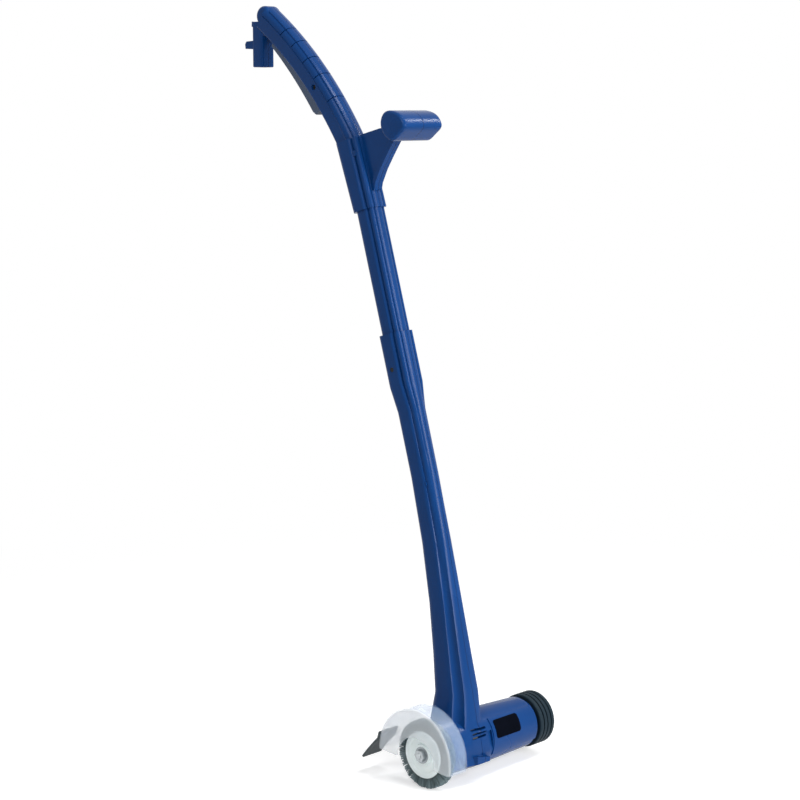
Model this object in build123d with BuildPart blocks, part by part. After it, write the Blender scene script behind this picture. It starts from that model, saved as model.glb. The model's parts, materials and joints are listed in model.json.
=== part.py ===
from build123d import *

import os
from math import acos, cos, pi, radians, sin, sqrt, tan

os.makedirs("parts", exist_ok=True)

# Electric joint cleaner, millimetres. The brush spindle, the motor and the guide wheel share one
# axis along X. Stations along that axis count from the brush's outer face, and side views count
# rearwards and upwards from the axis.
brush_face_x = -114.5
axis_y = -192
axis_z = 50
mid = 83
seam_gap = 0.1

# shaft: lean to the rear, a point on its axis, section sizes and the spans along the axis
lean = 16.44
tube_y, tube_z = 183, 745
tube_size = (33, 37)
collar_size = (39.5, 43.5)
collar_top_size, collar_top_shift = (39.5, 47.5), 5
tube_span = (-242, 60)
upper_collar_span = (16, 122)
lower_collar_span = (-244, -168)

# main grip, an arc in the side view, and its trigger
grip_start, grip_via, grip_end = (221, 856), (303.7, 959.2), (405, 1043)
grip_depth = 20.5
grip_wall = 3
trigger_pivot = (377, 1004)
trigger_half = 10
trigger_travel = 3.6

# motor barrel and gear case
barrel_start, barrel_end = 84, 209
barrel_near, barrel_near_rise = (40, 42.2), 2.2
barrel_far, barrel_far_rise = (37.4, 37.6), 0.4
panel_raise = 1.2
panel_span = (106, 204)
panel_angles = (-27, 53)
plate_station, plate_angle = 139.2, 27.3
plate_size = (53.5, 27)
nose_face = 24
nose_radius = 38
motor_bore = 32
case_bore = 34.5

# planetary gear
gear_module = 1.0
pressure = radians(25)
sun_teeth, planet_teeth, ring_teeth = 12, 18, 48
backlash = 0.14
addendum, dedendum = 0.82, 1.1
carrier_radius = gear_module * (sun_teeth + planet_teeth) / 2
planet_angles = (90, 210, 330)
gear_x0, gear_x1 = 57, 67

# brush
brush_radius = 50
brush_width = 14.5
disc_radius = 32
backing = 2
strand_rows, strands_per_row = 4, 100
strand_size = 1.3

# guard
guard_x0, guard_x1 = -14, 24
guard_y, guard_z = 6.5, -2
guard_radius = 70
guard_wall = 2.2

# guide wheel
wheel_x0, wheel_x1 = 211.5, 243
wheel_radius = 39.7
tyre_inner = 31
axle_radius = 4

# supply lead and motor cable
cable_radius = 2.5
cable_shift = 6

front = Plane((brush_face_x, axis_y, axis_z), x_dir=(1, 0, 0), z_dir=(0, -1, 0))
spindle_axis = Axis((brush_face_x, axis_y, axis_z), (1, 0, 0))


# side-view plane at a station: local x to the rear, local y up
def across(station):
    return Plane((brush_face_x + station, axis_y, axis_z), x_dir=(0, 1, 0), z_dir=(1, 0, 0))


# plane square to the shaft through a side-view point: local x along the spindle, local y rearwards
def shaft_plane(y, z, angle, shift=0):
    tilt = radians(angle)
    origin = (brush_face_x + mid + shift, axis_y + y, axis_z + z)
    return Plane(origin, x_dir=(1, 0, 0), z_dir=(0, sin(tilt), cos(tilt)))


tube_plane = shaft_plane(tube_y, tube_z, lean)


# solid turned about the spindle axis from (station, radius) points
def turned(points, mode=Mode.ADD):
    with BuildSketch(front) as profile:
        with BuildLine():
            Polyline(*points, close=True)
        make_face()
    revolve(profile.sketch, axis=spindle_axis, mode=mode)


def ring(x0, x1, outer, inner, mode=Mode.ADD):
    turned([(x0, inner), (x1, inner), (x1, outer), (x0, outer)], mode)


# side-view outline made solid between two stations
def slab(points, x0, x1, mode=Mode.ADD):
    with BuildSketch(across(x0)) as outline:
        with BuildLine():
            Polyline(*points, close=True)
        make_face()
    extrude(outline.sketch, amount=x1 - x0, mode=mode)


# round bar along X through a side-view point
def bar(y, z, radius, x0, x1, mode=Mode.ADD):
    with BuildSketch(across(x0)) as outline:
        with Locations((y, z)):
            Circle(radius)
    extrude(outline.sketch, amount=x1 - x0, mode=mode)


# Shaft section: rounded rear and, towards the front, a lobe at each side, a smaller lobe within it
# and a rib down the middle, each behind a step. Lower down, the inner lobes turn into hollow flutes
# between ridges. Points run from the side to the middle, as shares of the half width and half depth
lobed_points = [
    (1, -0.18), (0.953, -0.33), (0.826, -0.43), (0.77, -0.41), (0.86, -0.645), (0.785, -0.825),
    (0.545, -0.89), (0.475, -0.82), (0.455, -0.885), (0.25, -0.97), (0, -1),
]
fluted_points = [
    (1, -0.2), (0.975, -0.335), (0.94, -0.47), (0.82, -0.51), (0.73, -0.575), (0.645, -0.69),
    (0.6, -0.83), (0.575, -0.93), (0.44, -0.962), (0.24, -0.987), (0, -1),
]


def ribbed_section(plane, width, depth, corner=11.0, flute=0.0):
    half, deep = width / 2, depth / 2
    points = [
        (half * (a + (c - a) * flute), deep * (b + (d - b) * flute))
        for (a, b), (c, d) in zip(lobed_points, fluted_points)
    ]
    with BuildSketch(plane) as section:
        with BuildLine():
            Line((0, deep), (half - corner, deep))
            RadiusArc((half - corner, deep), (half, deep - corner), corner)
            Line((half, deep - corner), points[0])
            ThreePointArc(*points[0:3])
            Polyline(*points[2:5])
            ThreePointArc(*points[4:7])
            Polyline(*points[6:9])
            ThreePointArc(*points[8:11])
            mirror(about=Plane.YZ)
        make_face()
    return section.sketch


def plain_section(plane, width, depth, corner, shift=1):
    with BuildSketch(plane) as section:
        with Locations((0, shift)):
            RectangleRounded(width, depth, corner)
    return section.sketch


# grip section: flat sides, a lobe above each and a rib along the top, with a notch at each edge
def grip_section(plane):
    with BuildSketch(plane) as section:
        with BuildLine():
            ThreePointArc((0, -17), (6, -16.4), (11, -14.2))
            Polyline((11, -14.2), (11.6, -11.9), (12.9, -12.6))
            ThreePointArc((12.9, -12.6), (15.6, -8.6), (16.8, -3.6))
            Polyline((16.8, -3.6), (15.2, -2.4), (16.4, -1.2), (15.8, grip_depth), (0, grip_depth))
            mirror(about=Plane.YZ)
        make_face()
        fillet(section.vertices().group_by(Axis.Y)[-1].sort_by(Axis.X)[0::2], 5)
    return section.sketch


# inside of the grip, one wall smaller
def grip_hollow(plane):
    reach = grip_depth - grip_wall
    with BuildSketch(plane) as section:
        with BuildLine():
            ThreePointArc((-12.4, -3), (0, -13), (12.4, -3))
            Polyline((12.4, -3), (12.4, reach), (-12.4, reach), (-12.4, -3))
        make_face()
    return section.sketch


# Screws along X that hold two shell halves; side is +1 when the head is on the wheel's side. Each
# has a boss through the hollow, a bore with a head pocket, and the screw itself.
def screw_boss(y, z, half):
    bar(y, z, 4.4, mid - half + 1.5, mid + half - 1.5)


def screw_bore(y, z, half, side):
    bar(y, z, 1.7, mid - half + 3.5, mid + half - 3.5, Mode.SUBTRACT)
    for depth, radius in ((5, 3.6), (1.8, 4.5)):
        floor = mid + side * (half - depth)
        bar(y, z, radius, min(floor, floor + side * 9), max(floor, floor + side * 9), Mode.SUBTRACT)


def cross_screw(y, z, half, side):
    head = mid + side * (half - 5)
    tip = mid - side * (half - 4)
    bar(y, z, 1.68, min(head, tip), max(head, tip))
    bar(y, z, 3.3, min(head, head + side * 2.4), max(head, head + side * 2.4))
    with BuildSketch(across(head + side * 2.4)) as recess:
        with Locations((y, z)):
            Rectangle(3.4, 0.8)
            Rectangle(0.8, 3.4)
    extrude(recess.sketch, amount=-side * 1.2, mode=Mode.SUBTRACT)


# screw places: side-view point, half width of the housing there, side of the head
lower_screw_places = [(66, 372, 15.1, 1), (46, 286, 15.9, 1), (18, 146, 21.6, 1), (25, 84, 25.2, 1)]
handle_screw_places = [(290, 937, 16.2, -1), (203.5, 842, 19.7, 1), (399, 1022, 16, 1)]
# screws that pin the tube in its collars
tube_screw_places = [(125, 533, -1), (196, 785, 1)]
# screws along the axis that hold the bulkhead and the guard
bulkhead_screw_places = [
    (31.2 * cos(radians(angle)), 31.2 * sin(radians(angle))) for angle in (30, 150, 270)
]
guard_screw_places = [(29 * cos(radians(angle)), 29 * sin(radians(angle))) for angle in (40, 90, 140)]


# oval section of the motor barrel, which narrows and drops towards the wheel
def barrel_section(station, grow=0):
    share = (station - barrel_start) / (barrel_end - barrel_start)
    across_radius, up_radius = (a + (b - a) * share for a, b in zip(barrel_near, barrel_far))
    with BuildSketch(across(station)) as section:
        with Locations((0, barrel_near_rise + (barrel_far_rise - barrel_near_rise) * share)):
            Ellipse(across_radius + grow, up_radius + grow)
    return section.sketch


# direction square to the spindle at an angle above the front
def above_front(angle):
    return Vector(0, -cos(radians(angle)), sin(radians(angle)))


# Lower shaft stations: side-view centre, offset along X, width, depth, lean and how far fluted
shaft_stations = [
    (-1, -22, -14, 68, 79, 0, 1),
    (4.5, 18, -9.5, 63, 72, 1, 1),
    (11, 74, -1, 52, 59, 5, 1),
    (21.5, 130, 0, 45.2, 52.5, 9, 1),
    (34.8, 203, 0, 36.6, 47, 11.6, 1),
    (52.6, 289, 0, 31.8, 43.6, 13.7, 0.7),
    (76, 382, 0, 30, 41.8, 15.4, 0.5),
    (102.9, 474, 0, 30.4, 41.5, lean, 0.35),
]

# PANEL, slightly raised on the front of the barrel
with BuildPart() as front_panel:
    loft([barrel_section(station, panel_raise) for station in panel_span])
    with BuildSketch(across(panel_span[0])):
        with BuildLine():
            panel_edges = [above_front(angle) * 60 for angle in panel_angles]
            Polyline((0, 0), *[(edge.Y, edge.Z) for edge in panel_edges], close=True)
        make_face()
    extrude(amount=panel_span[1] - panel_span[0], mode=Mode.INTERSECT)

# FOOT below the flat front
with BuildPart() as foot:
    with BuildSketch(front):
        with BuildLine():
            Polyline((60, -21.7), (95, -21.7), (95, -16), (67, -10), (60, -10), close=True)
        make_face()
    extrude(amount=44)
    with BuildSketch(Plane((brush_face_x, axis_y, axis_z - 30), x_dir=(1, 0, 0), z_dir=(0, 0, 1))):
        with BuildLine():
            Polyline((60.5, 1), (60.5, -33), (66.5, -44), (93, -44), (95, -42), (95, 1), close=True)
        make_face()
    extrude(amount=30, mode=Mode.INTERSECT)

# LOWER HOUSING: shaft with collar, gear case and motor barrel, made whole and then parted
with BuildPart() as lower_body:
    outer_sections = [
        ribbed_section(shaft_plane(y, z, angle, shift), width, depth, min(11 + 0.3 * (width - 30), 18), flute)
        for y, z, shift, width, depth, angle, flute in shaft_stations
    ]
    collar_section = ribbed_section(tube_plane.offset(lower_collar_span[0]), *collar_size)
    loft(outer_sections + [collar_section], ruled=True)
    extrude(collar_section, amount=lower_collar_span[1] - lower_collar_span[0])
    # gear case nose and the barrel with its panel
    turned([
        (20.5, 0), (20.5, 22), (nose_face, 22), (nose_face, 35), (27, nose_radius), (70, 39.5),
        (90, 38.6), (90, 0),
    ])
    loft([barrel_section(68, -5), barrel_section(barrel_start)])
    loft([barrel_section(barrel_start), barrel_section(203)])
    loft([barrel_section(203), barrel_section(barrel_end, -3)])
    add(front_panel.part)
    # flat front below the rib, and the foot
    slab([(-33, 20), (-41.5, -22), (-60, -22), (-60, 20)], 62, 104, Mode.SUBTRACT)
    add(foot.part)
    # threads for the guard screws
    for y, z in guard_screw_places:
        bar(y, z, 2.02, 23, 34.5, Mode.SUBTRACT)
    # hollow of the shaft
    inner_sections = [
        plain_section(shaft_plane(y, z, angle, shift), 0.68 * width, 0.66 * depth, 8)
        for y, z, shift, width, depth, angle, flute in [(7, 44, -3, 52, 62, 2, 1)] + shaft_stations[2:]
    ]
    loft(inner_sections, ruled=True, mode=Mode.SUBTRACT)
    extrude(plain_section(tube_plane.offset(-288), 20.4, 26, 5), amount=50, mode=Mode.SUBTRACT)
    extrude(
        ribbed_section(tube_plane.offset(tube_span[0] - 0.1), tube_size[0] + 0.2, tube_size[1] + 0.2),
        amount=90,
        mode=Mode.SUBTRACT,
    )
    # spindle bore with bearing seats, gear room, bulkhead seat and motor room
    turned([
        (20, 0), (20, 9.5), (26, 9.5), (26, 13.02), (46, 13.02), (46, 22), (55.9, 22), (55.9, 28.52),
        (70, 28.52), (70, case_bore + 0.02), (mid, case_bore + 0.02), (mid, motor_bore),
        (202, motor_bore), (202, 0),
    ], Mode.SUBTRACT)
    # rear bearing seat, axle hole and the ribs that hold the stator
    turned([
        (189, 11.02), (197.2, 11.02), (197.2, 6), (198.5, 6), (198.5, 0), (203, 0), (203, 16), (189, 16),
    ])
    bar(0, 0, axle_radius + 0.02, 199.5, barrel_end + 1, Mode.SUBTRACT)
    with BuildSketch(across(104)):
        with PolarLocations(30.5, 6, start_angle=30):
            Rectangle(4.7, 4)
    extrude(amount=47)
    ring(103, 152, 28.05, 20, Mode.SUBTRACT)
    # threads for the bulkhead screws
    for y, z in bulkhead_screw_places:
        bar(y, z, 1.52, 61, 71, Mode.SUBTRACT)
    # way for the motor leads from the foot into the motor room
    slab([(2, 26), (14, 26), (14, 57), (2, 57)], 96.5, 102.5, Mode.SUBTRACT)
    # air slots across the seam
    for slot_z in (25.5, 20, 14.5):
        slot_centre = (brush_face_x + 80.5, axis_y - 60, axis_z + slot_z)
        with BuildSketch(Plane(slot_centre, x_dir=(1, 0, 0), z_dir=(0, 1, 0))):
            SlotOverall(28.5, 3.2)
        extrude(amount=36, mode=Mode.SUBTRACT)
    for y, z, half, side in lower_screw_places:
        screw_boss(y, z, half)
    for y, z, half, side in lower_screw_places:
        screw_bore(y, z, half, side)
    y, z, side = tube_screw_places[0]
    bar(y, z, 1.7, mid - 25, mid, Mode.SUBTRACT)
    bar(y, z, 3.6, mid - 25, mid - 18, Mode.SUBTRACT)

with BuildPart() as lower_shell_right:
    add(lower_body.part)
    split(bisect_by=Plane((brush_face_x + mid - seam_gap, 0, 0), z_dir=(1, 0, 0)), keep=Keep.BOTTOM)
lower_shell_right.part.label = "lower_shell_right"
export_step(lower_shell_right.part, "parts/lower_shell_right.step")

with BuildPart() as lower_shell_left:
    add(lower_body.part)
    split(bisect_by=Plane((brush_face_x + mid + seam_gap, 0, 0), z_dir=(1, 0, 0)), keep=Keep.TOP)
lower_shell_left.part.label = "lower_shell_left"
export_step(lower_shell_left.part, "parts/lower_shell_left.step")

# MIDDLE TUBE: one ribbed length between the collars
with BuildPart() as middle_tube:
    extrude(
        ribbed_section(tube_plane.offset(tube_span[0]), *tube_size),
        amount=tube_span[1] - tube_span[0],
    )
    extrude(
        plain_section(tube_plane.offset(tube_span[0]), tube_size[0] - 10, tube_size[1] - 12, 7),
        amount=tube_span[1] - tube_span[0],
        mode=Mode.SUBTRACT,
    )
    for y, z, side in tube_screw_places:
        bar(y, z, 1.7, min(mid, mid + side * 25), max(mid, mid + side * 25), Mode.SUBTRACT)
middle_tube.part.label = "middle_tube"
export_step(middle_tube.part, "parts/middle_tube.step")

# HANDLE: collar, curved main grip, front grip on its bracket and the inlet block
with BuildLine(across(mid)) as grip_path:
    ThreePointArc(grip_start, grip_via, grip_end)
grip_line = grip_path.line


# plane square to the main grip at a fraction of its length; local y points to the trigger's side
def grip_plane(fraction):
    return Plane(grip_line @ fraction, x_dir=(1, 0, 0), z_dir=grip_line % fraction)


# trigger outline about its pivot, turned by an angle
def trigger_outline(station, turn, margin=0):
    py, pz = trigger_pivot
    angle = radians(turn)
    plane = Plane(
        (brush_face_x + station, axis_y + py, axis_z + pz),
        x_dir=(0, cos(angle), sin(angle)),
        z_dir=(1, 0, 0),
    )
    with BuildSketch(plane) as outline:
        with BuildLine():
            ThreePointArc((388 - py, 998 - pz), (339 - py, 950 - pz), (298 - py, 901 - pz))
            Polyline(
                (298 - py, 901 - pz), (291 - py, 897 - pz), (281.5 - py, 905.5 - pz), (285 - py, 912.5 - pz),
            )
            ThreePointArc((285 - py, 912.5 - pz), (329.5 - py, 958.5 - pz), (371 - py, 998 - pz))
            Polyline(
                (371 - py, 998 - pz), (372 - py, 1008 - pz), (381 - py, 1009 - pz), (387 - py, 1004 - pz),
                (388 - py, 998 - pz),
            )
        make_face()
        if margin:
            offset(amount=margin)
    return outline.sketch


# side-view point at a fraction of the grip's length, moved towards the trigger
def grip_point(fraction, drop):
    plane = grip_plane(fraction)
    point = plane.origin + plane.y_dir * drop
    return (point.Y - axis_y, point.Z - axis_z)


# tube along side-view points, with each corner as wide as its runs allow
def run_tube(points, shift, radius, mode=Mode.ADD):
    radii = []
    for a, b, c in zip(points, points[1:], points[2:]):
        before = Vector(*b) - Vector(*a)
        after = Vector(*c) - Vector(*b)
        turn = radians(before.get_angle(after))
        radii.append(0.45 * min(before.length, after.length) / tan(turn / 2))
    print("tube radii", [round(value, 1) for value in radii])
    with BuildLine(across(mid + shift)) as route:
        FilletPolyline(*points, radius=radii)
    line = route.wire()
    with BuildSketch(Plane(line @ 0, z_dir=line % 0)) as section:
        Circle(radius)
    sweep(section.sketch, path=line, mode=mode)


lead_points = [
    (415.5, 1000.1), (415.5, 1024), (404, 1036.5), grip_point(0.86, -3), grip_point(0.74, -3),
    grip_point(0.609, -3),
]
cable_points = [
    grip_point(0.491, -3), grip_point(0.32, -4), grip_point(0.12, -3), (217, 838), (117, 500), (81, 372),
    (60, 286), (31, 146), (15, 92), (9, 60),
]

# FRONT GRIP, rounded all over
front_grip_points = [
    (81, 885), (89, 896.5), (105, 903), (122, 901.5), (129.5, 889), (122.5, 869), (108, 861), (91.5, 870.5),
]
with BuildPart() as front_bar:
    with BuildSketch(across(mid - 40)):
        with BuildLine():
            Spline(*front_grip_points, periodic=True)
        make_face()
    extrude(amount=80)
    fillet(front_bar.edges().group_by(Axis.X)[0], 5)
    fillet(front_bar.edges().group_by(Axis.X)[-1], 5)
    bar(106.5, 882.5, 16, mid - 35, mid + 35, Mode.SUBTRACT)

# CAP, the rounded end of the main grip
with BuildPart() as grip_cap:
    bar(405, 1044, 15, mid - 14.5, mid + 14.5)
    fillet(grip_cap.edges().filter_by(GeomType.CIRCLE), 6.5)


# plane across the inlet block at a height above the spindle axis
def inlet_plane(height):
    return Plane((brush_face_x + mid, axis_y + 418.5, axis_z + height), x_dir=(1, 0, 0), z_dir=(0, 0, 1))


# INLET BLOCK below the cap
with BuildPart() as inlet_block:
    with BuildSketch(inlet_plane(968)):
        RectangleRounded(26, 23, 4.5)
    extrude(amount=68)
    fillet(inlet_block.edges().group_by(Axis.Z)[0], 1.8)

hollow_line = grip_path.edge().trim(0, 0.93)

with BuildPart() as handle_body:
    sweep(grip_section(grip_plane(0)), path=grip_line)
    # cap, inlet block with a gusset in front and two cord horns behind, and the upper collar
    add(grip_cap.part)
    add(inlet_block.part)
    slab([(396, 1024), (410, 1012), (412, 1036), (400, 1036)], mid - 11, mid + 11)
    slab([(425, 1036), (431, 1036.5), (431.5, 1029), (425, 1027)], mid - 11.5, mid + 11.5)
    slab([(425, 1008), (444, 1007), (447, 1003), (446, 996), (425, 995)], mid - 11.5, mid + 11.5)
    collar_top = tube_plane.offset(upper_collar_span[1])
    loft([
        ribbed_section(tube_plane.offset(upper_collar_span[0]), *collar_size),
        ribbed_section(
            Plane(collar_top.origin + collar_top.y_dir * collar_top_shift, collar_top.x_dir, collar_top.z_dir),
            *collar_top_size,
        ),
    ])
    # bracket web with its front flange
    slab([
        (208, 860), (201, 869), (164, 878), (126, 884), (122, 868), (134, 862), (150, 840), (174, 795),
        (186, 780),
    ], mid - 5.5, mid + 5.5)
    slab([
        (131, 863), (147, 840), (160, 820), (170, 800), (172, 790), (180, 788), (176, 803), (166, 823),
        (153, 843), (138, 866),
    ], mid - 8, mid + 8)
    # grooves across the top of the grip
    for fraction in (0.27, 0.435, 0.56, 0.69, 0.80):
        with BuildSketch(grip_plane(fraction)):
            Circle(20)
            Circle(15.6, mode=Mode.SUBTRACT)
            with Locations((0, 18.5)):
                Rectangle(50, 40, mode=Mode.SUBTRACT)
        extrude(amount=0.8, both=True, mode=Mode.SUBTRACT)
    # hollow of the grip, tube socket and the way between them
    sweep(grip_hollow(grip_plane(0)), path=hollow_line, mode=Mode.SUBTRACT)
    extrude(
        ribbed_section(tube_plane.offset(upper_collar_span[0]), tube_size[0] + 0.2, tube_size[1] + 0.2),
        amount=tube_span[1] + 0.1 - upper_collar_span[0],
        mode=Mode.SUBTRACT,
    )
    extrude(plain_section(tube_plane.offset(tube_span[1]), 25, 26, 8), amount=60, mode=Mode.SUBTRACT)
    # ribs that hold the switch
    for fraction in (0.53, 0.57):
        with BuildSketch(grip_plane(fraction)):
            with Locations((-10.9, -2), (10.9, -2)):
                Rectangle(4.7, 9)
        extrude(amount=1.5, both=True)
    # slot that the trigger moves in, its pin holes, the inlet well and the way up for its lead
    for turn in (0, -0.25, -0.5, -0.75, -1):
        extrude(
            trigger_outline(mid - trigger_half - 0.5, turn * trigger_travel, 0.5),
            amount=2 * trigger_half + 1,
            mode=Mode.SUBTRACT,
        )
    bar(*trigger_pivot, 2.02, mid - 15, mid + 15, Mode.SUBTRACT)
    slab([(410.5, 960), (426.5, 960), (426.5, 1000), (410.5, 1000)], mid - 9.5, mid + 9.5, Mode.SUBTRACT)
    run_tube([(415.5, 999)] + lead_points[1:], 0, cable_radius + 0.7, Mode.SUBTRACT)
    add(front_bar.part)
    for y, z, half, side in handle_screw_places:
        screw_boss(y, z, half)
    for y, z, half, side in handle_screw_places:
        screw_bore(y, z, half, side)
    y, z, side = tube_screw_places[1]
    bar(y, z, 1.7, mid, mid + 25, Mode.SUBTRACT)
    bar(y, z, 3.6, mid + 18, mid + 25, Mode.SUBTRACT)

with BuildPart() as handle_shell_right:
    add(handle_body.part)
    split(bisect_by=Plane((brush_face_x + mid - seam_gap, 0, 0), z_dir=(1, 0, 0)), keep=Keep.BOTTOM)
handle_shell_right.part.label = "handle_shell_right"
export_step(handle_shell_right.part, "parts/handle_shell_right.step")

with BuildPart() as handle_shell_left:
    add(handle_body.part)
    split(bisect_by=Plane((brush_face_x + mid + seam_gap, 0, 0), z_dir=(1, 0, 0)), keep=Keep.TOP)
handle_shell_left.part.label = "handle_shell_left"
export_step(handle_shell_left.part, "parts/handle_shell_left.step")

# TRIGGER with its pin and spring, and the switch it works
with BuildPart() as trigger:
    extrude(trigger_outline(mid - trigger_half, 0), amount=2 * trigger_half)
    bar(*trigger_pivot, 5.2, mid - trigger_half, mid + trigger_half)
    bar(*trigger_pivot, 2.06, mid - 11, mid + 11, Mode.SUBTRACT)
trigger.part.label = "trigger"
export_step(trigger.part, "parts/trigger.step")

with BuildPart() as trigger_pin:
    bar(*trigger_pivot, 2, mid - 14.8, mid + 14.8)
trigger_pin.part.label = "trigger_pin"
export_step(trigger_pin.part, "parts/trigger_pin.step")

with BuildPart() as trigger_spring:
    spring_plane = grip_plane(0.34)
    spring_seat = spring_plane.origin + Vector(-5, 0, 0) - spring_plane.y_dir * 9
    spring_top = Plane(spring_seat, x_dir=(1, 0, 0), z_dir=spring_plane.y_dir)
    with BuildSketch(spring_top):
        Circle(3.4)
        Circle(2.4, mode=Mode.SUBTRACT)
    extrude(amount=26.2)
trigger_spring.part.label = "trigger_spring"
export_step(trigger_spring.part, "parts/trigger_spring.step")

switch_plane = grip_plane(0.55)
plunger_plane = Plane(
    switch_plane.origin - switch_plane.y_dir * 6.6, x_dir=(1, 0, 0), z_dir=switch_plane.y_dir
)
with BuildPart() as switch_body:
    with BuildSketch(switch_plane):
        with Locations((0, -2.75)):
            Rectangle(17, 12.5)
    extrude(amount=15, both=True)
    with BuildSketch(plunger_plane):
        Circle(2.55)
    extrude(amount=20, mode=Mode.SUBTRACT)
switch_body.part.label = "switch_body"
export_step(switch_body.part, "parts/switch_body.step")

with BuildPart() as switch_plunger:
    with BuildSketch(plunger_plane.offset(5)):
        Circle(2.5)
    extrude(amount=18.6)
switch_plunger.part.label = "switch_plunger"
export_step(switch_plunger.part, "parts/switch_plunger.step")

# INLET: insert with two recessed pins at the bottom of the block, each with a thinner root
with BuildPart() as inlet_insert:
    slab([(410.6, 986), (426.4, 986), (426.4, 999.9), (410.6, 999.9)], mid - 9.4, mid + 9.4)
    with BuildSketch(inlet_plane(986)):
        with Locations((-5, 0), (5, 0)):
            Circle(1.52)
    extrude(amount=8, mode=Mode.SUBTRACT)
inlet_insert.part.label = "inlet_insert"
export_step(inlet_insert.part, "parts/inlet_insert.step")

with BuildPart() as inlet_pins:
    with BuildSketch(inlet_plane(970)):
        with Locations((-5, 0), (5, 0)):
            Circle(1.98)
    extrude(amount=15.95)
    with BuildSketch(inlet_plane(985)):
        with Locations((-5, 0), (5, 0)):
            Circle(1.5)
    extrude(amount=8.9)
inlet_pins.part.label = "inlet_pins"
export_step(inlet_pins.part, "parts/inlet_pins.step")

with BuildPart() as supply_lead:
    run_tube(lead_points, 0, cable_radius)
supply_lead.part.label = "supply_lead"
export_step(supply_lead.part, "parts/supply_lead.step")

with BuildPart() as motor_cable:
    run_tube(cable_points, cable_shift, cable_radius)
motor_cable.part.label = "motor_cable"
export_step(motor_cable.part, "parts/motor_cable.step")

# SCREWS through the housings
with BuildPart() as handle_screws:
    for y, z, half, side in handle_screw_places:
        cross_screw(y, z, half, side)
handle_screws.part.label = "handle_screws"
export_step(handle_screws.part, "parts/handle_screws.step")

with BuildPart() as shell_screws:
    for y, z, half, side in lower_screw_places:
        cross_screw(y, z, half, side)
shell_screws.part.label = "shell_screws"
export_step(shell_screws.part, "parts/shell_screws.step")

with BuildPart() as tube_screws:
    for y, z, side in tube_screw_places:
        bar(y, z, 1.68, min(mid + side * 11, mid + side * 18), max(mid + side * 11, mid + side * 18))
        bar(y, z, 3.3, min(mid + side * 18, mid + side * 19.4), max(mid + side * 18, mid + side * 19.4))
tube_screws.part.label = "tube_screws"
export_step(tube_screws.part, "parts/tube_screws.step")


# GEARS: involute flanks drawn as arcs; thin is the amount taken off each tooth's width at the pitch
# circle, and turn is the angle of the first tooth
def gear_face(plane, teeth, tip, root, thin, turn):
    pitch = gear_module * teeth / 2
    base = pitch * cos(pressure)
    foot = max(base, root)

    def flank(radius, side, tooth):
        slope = acos(min(1, base / radius))
        spread = pi / (2 * teeth) - thin / (2 * pitch) + tan(pressure) - pressure - tan(slope) + slope
        angle = radians(turn) + 2 * pi * tooth / teeth + side * spread
        return angle

    def point(radius, angle):
        return (radius * cos(angle), radius * sin(angle))

    with BuildSketch(plane) as gear:
        with BuildLine():
            for tooth in range(teeth):
                middle = (foot + tip) / 2
                rise = [point(r, flank(r, -1, tooth)) for r in (foot, middle, tip)]
                fall = [point(r, flank(r, 1, tooth)) for r in (tip, middle, foot)]
                ThreePointArc(*rise)
                Line(rise[2], fall[0])
                ThreePointArc(*fall)
                valley = [point(root, flank(foot, 1, tooth)), point(root, flank(foot, -1, tooth + 1))]
                after = point(foot, flank(foot, -1, tooth + 1))
                if root < foot - 0.01:
                    Polyline(fall[2], *valley, after)
                else:
                    Line(fall[2], after)
        make_face()
    return gear.sketch


sun_pitch, planet_pitch, ring_pitch = (gear_module * n / 2 for n in (sun_teeth, planet_teeth, ring_teeth))

with BuildPart() as ring_gear:
    ring(56, 69.5, 28.5, 20)
    extrude(
        gear_face(
            across(55), ring_teeth, ring_pitch + dedendum, ring_pitch - addendum, -backlash,
            90 + 180 / ring_teeth,
        ),
        amount=16,
        mode=Mode.SUBTRACT,
    )
ring_gear.part.label = "ring_gear"
export_step(ring_gear.part, "parts/ring_gear.step")

with BuildPart() as sun_gear:
    extrude(
        gear_face(across(gear_x0), sun_teeth, sun_pitch + addendum, sun_pitch - dedendum, backlash, 90),
        amount=gear_x1 - gear_x0,
    )
    bar(0, 0, 3, gear_x0 - 1, gear_x1 + 1, Mode.SUBTRACT)
sun_gear.part.label = "sun_gear"
export_step(sun_gear.part, "parts/sun_gear.step")

planet_places = [
    (carrier_radius * cos(radians(angle)), carrier_radius * sin(radians(angle)), angle)
    for angle in planet_angles
]
for number, (y, z, angle) in enumerate(planet_places, start=1):
    seat = Plane((brush_face_x + 58, axis_y + y, axis_z + z), x_dir=(0, 1, 0), z_dir=(1, 0, 0))
    with BuildPart() as planet_gear:
        extrude(
            gear_face(
                seat, planet_teeth, planet_pitch + addendum, planet_pitch - dedendum, backlash,
                angle + 180 / planet_teeth,
            ),
            amount=8,
        )
        bar(y, z, 2.54, 57, 67, Mode.SUBTRACT)
    planet_gear.part.label = f"planet_gear_{number}"
    export_step(planet_gear.part, f"parts/planet_gear_{number}.step")

with BuildPart() as planet_pins:
    for y, z, angle in planet_places:
        bar(y, z, 2.5, 52, 67)
        bar(y, z, 4, 66.4, 67.4)
planet_pins.part.label = "planet_pins"
export_step(planet_pins.part, "parts/planet_pins.step")

# SPINDLE with its planet carrier, on two bearings
with BuildPart() as brush_spindle:
    turned([
        (-11, 0), (-11, 3.3), (-10.3, 4), (-4.4, 4), (-4.4, 5), (17, 5), (17, 9), (20, 9), (20, 5), (49, 5),
        (51, 9), (51, 21), (56.5, 21), (56.5, 0),
    ])
    for y, z, angle in planet_places:
        bar(y, z, 2.5, 52, 57, Mode.SUBTRACT)
brush_spindle.part.label = "brush_spindle"
export_step(brush_spindle.part, "parts/brush_spindle.step")

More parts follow.
